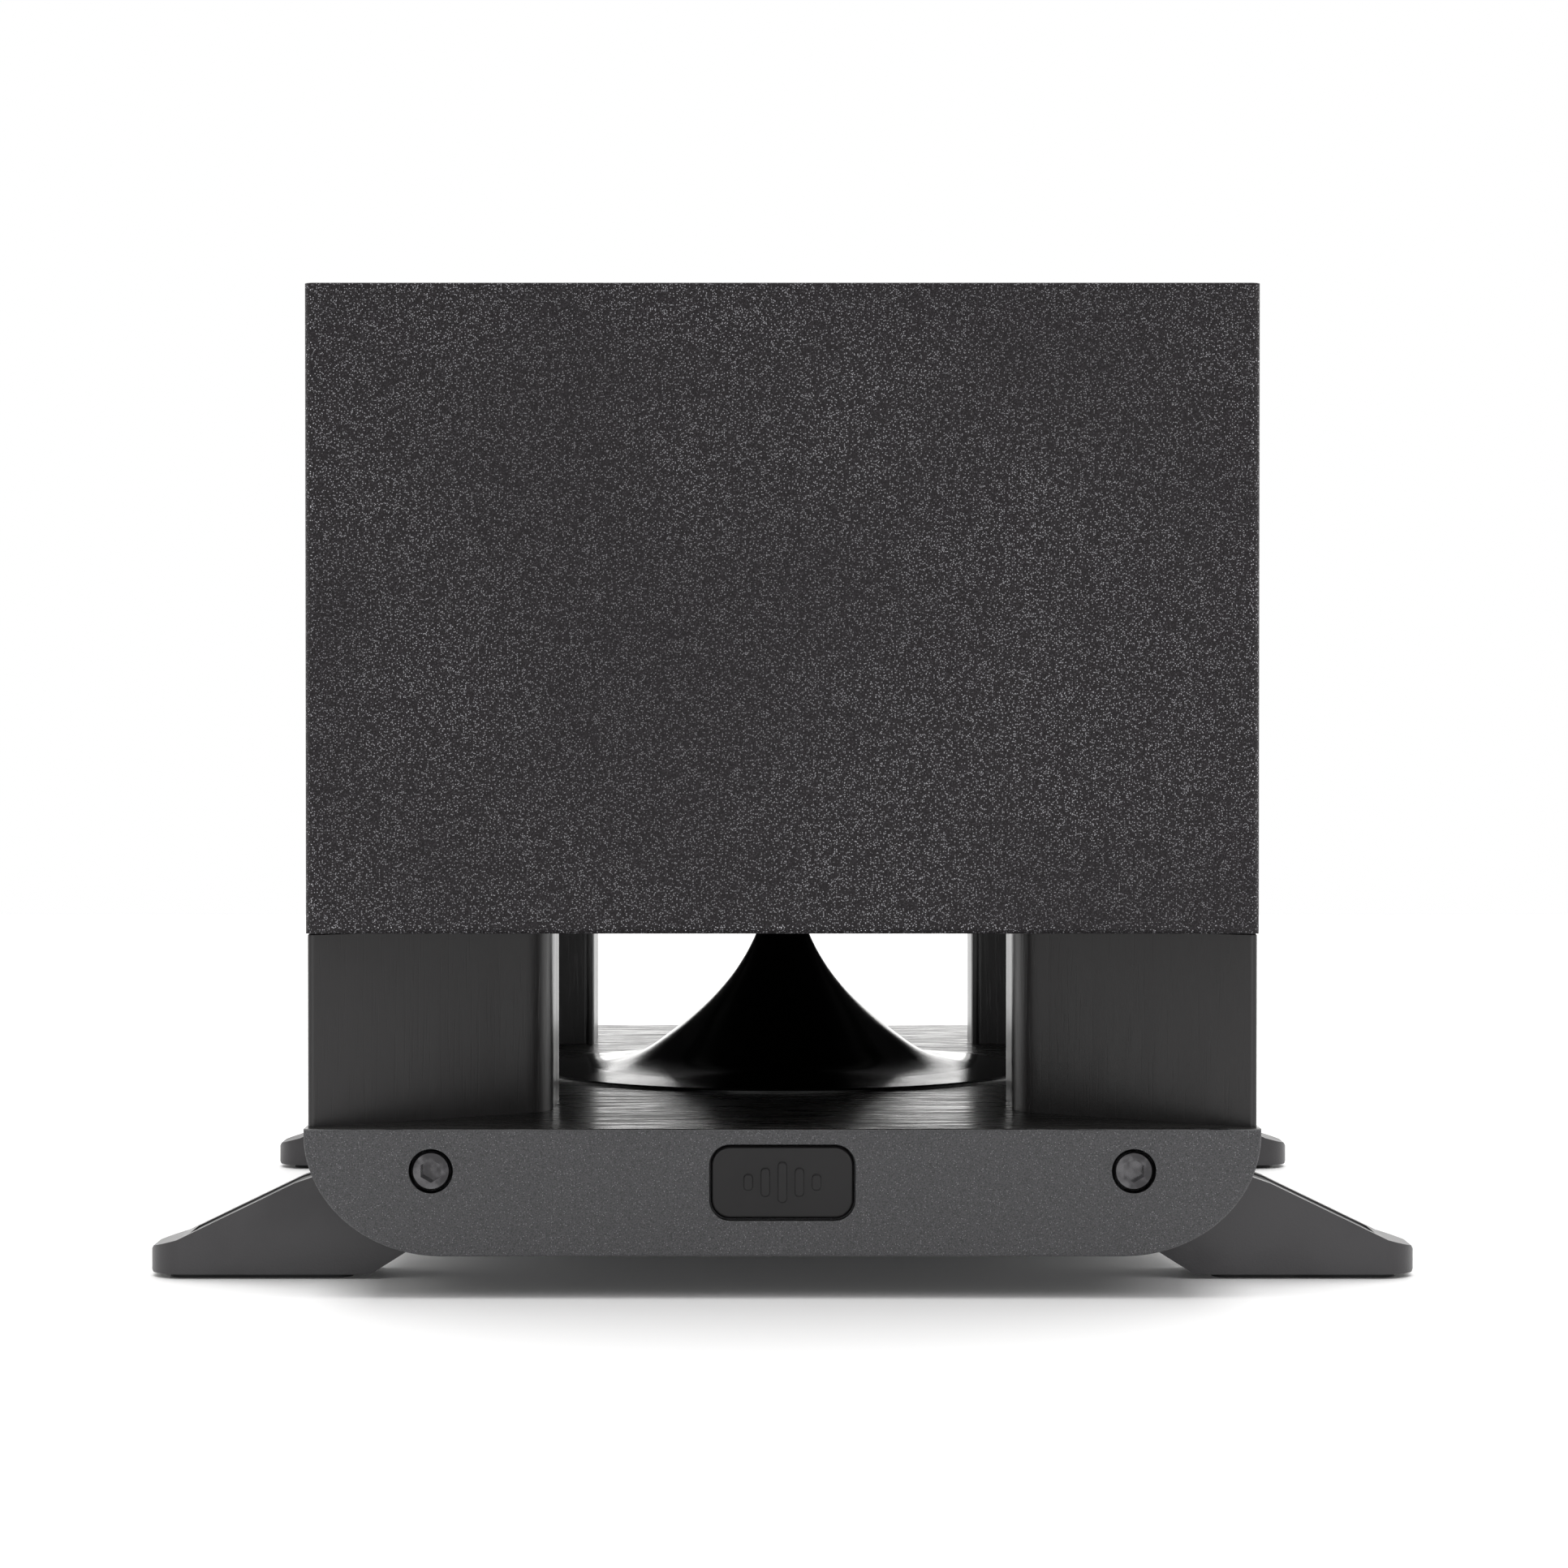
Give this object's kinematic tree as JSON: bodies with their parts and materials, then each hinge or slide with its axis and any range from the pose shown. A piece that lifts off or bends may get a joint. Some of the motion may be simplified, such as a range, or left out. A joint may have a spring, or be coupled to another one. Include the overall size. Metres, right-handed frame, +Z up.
{
  "type": "bookshelf speaker",
  "caption": "Compact loudspeaker: black box with a downward port over a trumpet-shaped diffuser, carried on swept pillars above a plinth slab with outrigger feet.",
  "frame": {"origin": "on the floor, at the middle of the overall box in X and Y", "axes": "+Z up, -Y towards the rear panel with the plinth badge, +Y towards the grille, +X to the right seen from behind"},
  "size_m": [0.325, 0.342, 0.25],
  "materials": {
    "black_ash": "black-stained open-grain veneer",
    "black_plastic": "black moulding",
    "black_steel": "black oxide steel",
    "brass": "bright plated brass",
    "ceramic": "white cement resistor",
    "circuit_board": "green solder mask",
    "coated_casting": "satin dark grey coated casting",
    "coated_paper": "coated pulp cone",
    "copper": "enamelled copper wire",
    "ferrite": "ground ferrite",
    "film_capacitor": "taped film capacitor",
    "gloss_black_plastic": "gloss black moulding",
    "grille_knit": "open black polyester knit",
    "lead_insulation": "soft insulation",
    "plated_steel": "zinc plated steel",
    "raw_board": "raw fibreboard",
    "red_plastic": "red moulding",
    "rubber": "matt black rubber",
    "satin_black_plastic": "satin black moulding",
    "silk": "coated silk",
    "spider_cloth": "resin-treated cotton",
    "terminal_plastic": "brown phenolic",
    "textured_vinyl": "fine pebbled black vinyl on board",
    "wadding": "white polyester wadding"
  },
  "bodies": {
    "cabinet": {"badge": "gloss_black_plastic", "baffle_magnets": "plated_steel", "binding_studs": "brass", "cabinet_bottom_panel": "textured_vinyl", "cabinet_left_panel": "black_ash", "cabinet_right_panel": "black_ash", "cabinet_top_panel": "black_ash", "crossover_board": "circuit_board", "crossover_capacitors": "film_capacitor", "crossover_inductors": "copper", "crossover_resistor": "ceramic", "diffuser_screws": "black_steel", "foot_bolts": "black_steel", "foot_front_left": "coated_casting", "foot_front_right": "coated_casting", "foot_inlays": "rubber", "foot_pads": "rubber", "foot_rear_left": "coated_casting", "foot_rear_right": "coated_casting", "front_baffle": "textured_vinyl", "inner_brace": "raw_board", "pillar_bolts": "black_steel", "pillar_front_left": "satin_black_plastic", "pillar_front_right": "satin_black_plastic", "pillar_rear_left": "satin_black_plastic", "pillar_rear_right": "satin_black_plastic", "plinth_slab": "black_ash", "port_diffuser_cone": "satin_black_plastic", "port_tube": "satin_black_plastic", "rear_panel": "textured_vinyl", "small_screws": "black_steel", "terminal_cup": "satin_black_plastic", "tweeter_faceplate": "satin_black_plastic", "tweeter_magnet": "plated_steel", "tweeter_screws": "black_steel", "tweeter_yoke": "plated_steel", "wadding_rear": "wadding", "wadding_sides": "wadding", "wiring_loom": "lead_insulation", "woofer_basket": "coated_casting", "woofer_gasket": "satin_black_plastic", "woofer_magnet": "ferrite", "woofer_screws": "black_steel", "woofer_spider": "spider_cloth", "woofer_surround": "rubber", "woofer_terminals": "terminal_plastic", "woofer_top_plate": "plated_steel", "woofer_yoke": "plated_steel"},
    "grille": {"grille_frame": "satin_black_plastic", "grille_cloth": "grille_knit", "grille_magnets": "plated_steel"},
    "woofer_diaphragm": {"woofer_cone": "coated_paper", "woofer_dust_cap": "coated_paper", "woofer_voice_coil": "copper"},
    "tweeter_diaphragm": {"tweeter_dome": "silk", "tweeter_voice_coil": "copper"},
    "red_insert": {"post_insert_red": "brass"},
    "red_cap": {"post_cap_red": "red_plastic"},
    "black_insert": {"post_insert_black": "brass"},
    "black_cap": {"post_cap_black": "black_plastic"}
  },
  "joints": [
    {"name": "grille_pull", "type": "slide", "parent": "cabinet", "child": "grille", "axis": [0, 1, 0], "range_m": [0, 0.06]},
    {"name": "woofer_travel", "type": "slide", "parent": "cabinet", "child": "woofer_diaphragm", "axis": [0, 1, 0], "range_m": [-0.004, 0.004], "stiffness_N_per_m": 1200, "deforming": ["woofer_surround", "woofer_spider"]},
    {"name": "tweeter_travel", "type": "slide", "parent": "cabinet", "child": "tweeter_diaphragm", "axis": [0, 1, 0], "range_m": [-0.0003, 0.0003], "stiffness_N_per_m": 2000},
    {"name": "red_post_slide", "type": "slide", "parent": "cabinet", "child": "red_insert", "axis": [0, 0, -1], "range_m": [0, 0.005]},
    {"name": "red_post_turn", "type": "hinge", "parent": "red_insert", "child": "red_cap", "pos_m": [0.00953, -0.117, 0.105], "axis": [0, 0, -1], "range_deg": [0, 1800]},
    {"name": "black_post_slide", "type": "slide", "parent": "cabinet", "child": "black_insert", "axis": [0, 0, -1], "range_m": [0, 0.005]},
    {"name": "black_post_turn", "type": "hinge", "parent": "black_insert", "child": "black_cap", "pos_m": [-0.00953, -0.117, 0.105], "axis": [0, 0, -1], "range_deg": [0, 1800]}
  ],
  "couplings": [
    {"joint": "red_post_turn", "follows": "red_post_slide", "rad_per_m": 6283},
    {"joint": "black_post_turn", "follows": "black_post_slide", "rad_per_m": 6283}
  ]
}
